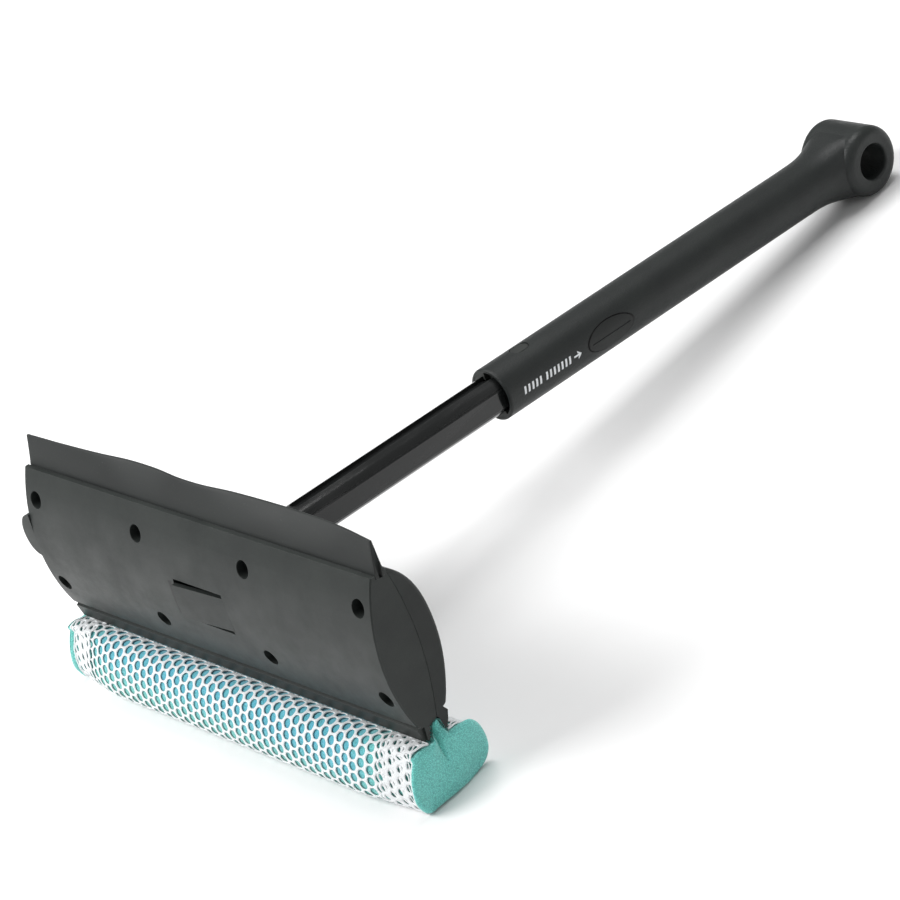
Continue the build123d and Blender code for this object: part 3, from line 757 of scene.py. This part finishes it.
def make_hem(side, label, edge):
    """The net's second layer at one end, and its rolled edge."""
    inner, outer = edge - HEM + 2.4, edge - 0.8
    low, high = sorted((side * inner, side * outer))
    limit = sorted((side * (inner - 2.2), side * (edge + 0.3)))
    points, faces = make_net(
        lattice(low, high, 2.3), HEM_HOLE_X, HEM_HOLE_S, HEM_HEIGHTS, 0.17, limit, 1.3
    )
    hem = thicken(mesh_piece(f"net_hem_{label}", points, faces, net_yarn, "head"), HEM_THICK)
    turns = np.linspace(0, 2 * math.pi, 9)[:-1]
    run = np.linspace(0, NET_LENGTH, 150)
    wave = 0.25 * np.sin(run / 2.1 + side) + 0.15 * np.sin(run / 0.9)
    tube = []
    for w in turns:
        x = side * (edge - 0.3 + EDGE_RADIUS_X * np.cos(w) + wave)
        tube.append(on_roll(x, run, np.full(len(run), EDGE_HEIGHT + EDGE_RADIUS_UP * np.sin(w))))
    tube = np.stack(tube, 1).reshape(-1, 3)
    faces = capped_rings(len(run), len(turns))
    return [hem, mesh_piece(f"net_edge_{label}", tube, faces, net_yarn, "head")]


points, faces = make_net(
    lattice(NET_LEFT + 1.6, NET_RIGHT - 1.6), HOLE_HALF_X, HOLE_HALF_S, STRAND_HEIGHTS, 0.035,
    (NET_LEFT, NET_RIGHT),
)
net = thicken(mesh_piece("net_sleeve", points, faces, net_yarn, "head"), STRAND_THICK)
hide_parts("sponge_net")
hems = make_hem(-1, "left", -NET_LEFT) + make_hem(1, "right", NET_RIGHT)

# ------------------------------------------------------------------------------- latch spring
SPRING_HALF, SPRING_WIDTH, SPRING_THICK = 9.5, 5.0, 0.25
SPRING_FOOT, SPRING_CROWN = -12.35, -10.75  # x of its feet on the grip's wall and of its crown
WALL_X = -12.62


def make_spring():
    """A thin steel leaf bowed between the grip's wall and the yoke, with rounded ends."""
    run = np.linspace(-1, 1, 41)
    half = SPRING_WIDTH / 2 * np.sqrt(np.clip(1 - np.clip((np.abs(run) - 0.8) / 0.2, 0, 1) ** 2, 0.02, 1))
    bow = (SPRING_CROWN - SPRING_THICK - SPRING_FOOT) * np.cos(run * math.pi / 2) ** 1.3
    points = []
    for r, h, b in zip(run, half, bow):
        x = SPRING_FOOT + SPRING_THICK / 2 + b
        for depth, side in ((-0.5, -1), (-0.5, 0), (-0.5, 1), (0.5, 1), (0.5, 0), (0.5, -1)):
            points.append(place(x + depth * SPRING_THICK, BUTTON_A + SPRING_HALF * r, h * side))
    faces = capped_rings(len(run), 6)
    spring = mesh_piece("spring_leaf", np.array(points), faces, spring_steel, "grip")
    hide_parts("latch_spring")
    wall = place(WALL_X, BUTTON_A, 0)
    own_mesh(spring)


make_spring()

# ------------------------------------------------------------------------------- printed mark
MARK_START, MARK_LIFT, MARK_THICK = 193.5, 0.02, 0.04
TICK_HALF, TICK_WIDTH, TICK_SLANT, TICK_PITCH, GROUP_GAP = 1.9, 1.2, 0.75, 2.6, 1.6
ARROW_LENGTH, ARROW_HALF, STEM_HALF = 5.0, 2.1, 0.45


def wrapped(corners, rows=7):
    """Thin solid on the grip from four (a, height round the grip) corners, in rows that follow its curve."""
    first, second, third, fourth = np.array(corners)
    rise = np.linspace(0, 1, rows + 1)[:, None]
    points = []
    for radius in (GRIP_RADIUS + MARK_LIFT, GRIP_RADIUS + MARK_LIFT + MARK_THICK):
        for edge in (first + (fourth - first) * rise, second + (third - second) * rise):
            turn = edge[:, 1] / GRIP_RADIUS
            points.append(place(radius * np.cos(turn), edge[:, 0], radius * np.sin(turn)))
    n = rows + 1
    faces = []
    for k in range(rows):
        inner_a, inner_b, outer_a, outer_b = k, n + k, 2 * n + k, 3 * n + k
        faces.append((inner_a, inner_a + 1, inner_b + 1, inner_b))
        faces.append((outer_a, outer_b, outer_b + 1, outer_a + 1))
        faces.append((inner_a, outer_a, outer_a + 1, inner_a + 1))
        faces.append((inner_b, inner_b + 1, outer_b + 1, outer_b))
    faces.append((0, n, 3 * n, 2 * n))
    faces.append((n - 1, 3 * n - 1, 4 * n - 1, 2 * n - 1))
    return np.concatenate(points), faces


def make_mark():
    """A row of slanted ticks and an arrow that points to the button."""
    patches = []
    a = MARK_START
    for group in (5, 7):
        for _ in range(group):
            top = a + TICK_SLANT
            foot_side = [(a, -TICK_HALF), (a + TICK_WIDTH, -TICK_HALF)]
            patches.append(foot_side + [(top + TICK_WIDTH, TICK_HALF), (top, TICK_HALF)])
            a += TICK_PITCH
        a += GROUP_GAP
    tail = a - 0.4
    tip = tail + ARROW_LENGTH
    neck, wing = tip - 1.1, tip - 2.4
    patches.append([(tail, -STEM_HALF), (neck, -STEM_HALF), (neck, STEM_HALF), (tail, STEM_HALF)])
    patches.append([(tip - 1.2, 0), (tip, 0), (wing, ARROW_HALF), (wing, 1.0)])
    patches.append([(wing, -ARROW_HALF), (wing, -1.0), (tip - 1.2, 0), (tip, 0)])
    points, faces, first = [], [], 0
    for corners in patches:
        made, sides = wrapped(corners)
        points.append(made)
        faces += [tuple(first + i for i in side) for side in sides]
        first += len(made)
    mesh_piece("printed_mark", np.concatenate(points), faces, ink, "grip", shade=False)


make_mark()

# ------------------------------------------------------------------------- floor, light, camera
FLOOR_HALF, FLOOR_Z = 6.0, -0.0002
floor_mesh = bpy.data.meshes.new("floor")
corners = [(-1, -1), (1, -1), (1, 1), (-1, 1)]
floor_mesh.from_pydata([(x * FLOOR_HALF, y * FLOOR_HALF, FLOOR_Z) for x, y in corners], [], [(0, 1, 2, 3)])
floor = bpy.data.objects.new("floor", floor_mesh)
bpy.context.scene.collection.objects.link(floor)
floor_look = Look("floor_paper", (0.9, 0.9, 0.9), 0.8)
floor_look.colour(floor_look.mix(floor_look.noise(40.0), (0.89, 0.89, 0.89), (0.92, 0.92, 0.92)))
floor_mesh.materials.append(floor_look.material)

world = bpy.data.worlds.new("studio")
bpy.context.scene.world = world
world.use_nodes = True
world.node_tree.nodes["Background"].inputs["Color"].default_value = (1.0, 1.0, 1.0, 1)
world.node_tree.nodes["Background"].inputs["Strength"].default_value = 0.32

middle = Vector((cad_box[0] + cad_box[1]) / 2)


def softbox(name, offset, size, power):
    """Area light at an offset in metres from the object's middle, turned towards it."""
    light = bpy.data.lights.new(name, "AREA")
    light.shape, light.size, light.size_y, light.energy = "RECTANGLE", size[0], size[1], power
    lamp = bpy.data.objects.new(name, light)
    bpy.context.scene.collection.objects.link(lamp)
    lamp.location = middle + Vector(offset)
    lamp.rotation_mode = "QUATERNION"
    lamp.rotation_quaternion = (-Vector(offset)).to_track_quat("-Z", "Y")


softbox("key", (-0.9, -1.3, 1.4), (1.1, 0.9), 40)
softbox("top", (-0.2, 0.5, 1.7), (1.4, 0.6), 22)
softbox("side", (1.6, 0.6, 0.8), (0.5, 1.0), 2.0)

CAMERA = (1185.2, -678.9, 699.2)  # x, a, u of the lens
LENS = 137.78
right, down = direction(0.6540, 0.7109, -0.2587), direction(0.1802, -0.4785, -0.8594)
ahead = right.cross(down).normalized()
lens = bpy.data.cameras.new("camera")
lens.lens, lens.sensor_width = LENS, 36.0
lens.clip_start, lens.clip_end = 0.05, 20.0
camera = bpy.data.objects.new("camera", lens)
bpy.context.scene.collection.objects.link(camera)
turn = Matrix((right, -down, -ahead)).transposed().to_4x4()
camera.matrix_world = Matrix.Translation(Vector(place(*CAMERA))) @ turn
bpy.context.scene.camera = camera
bpy.context.scene.view_settings.view_transform = "Standard"
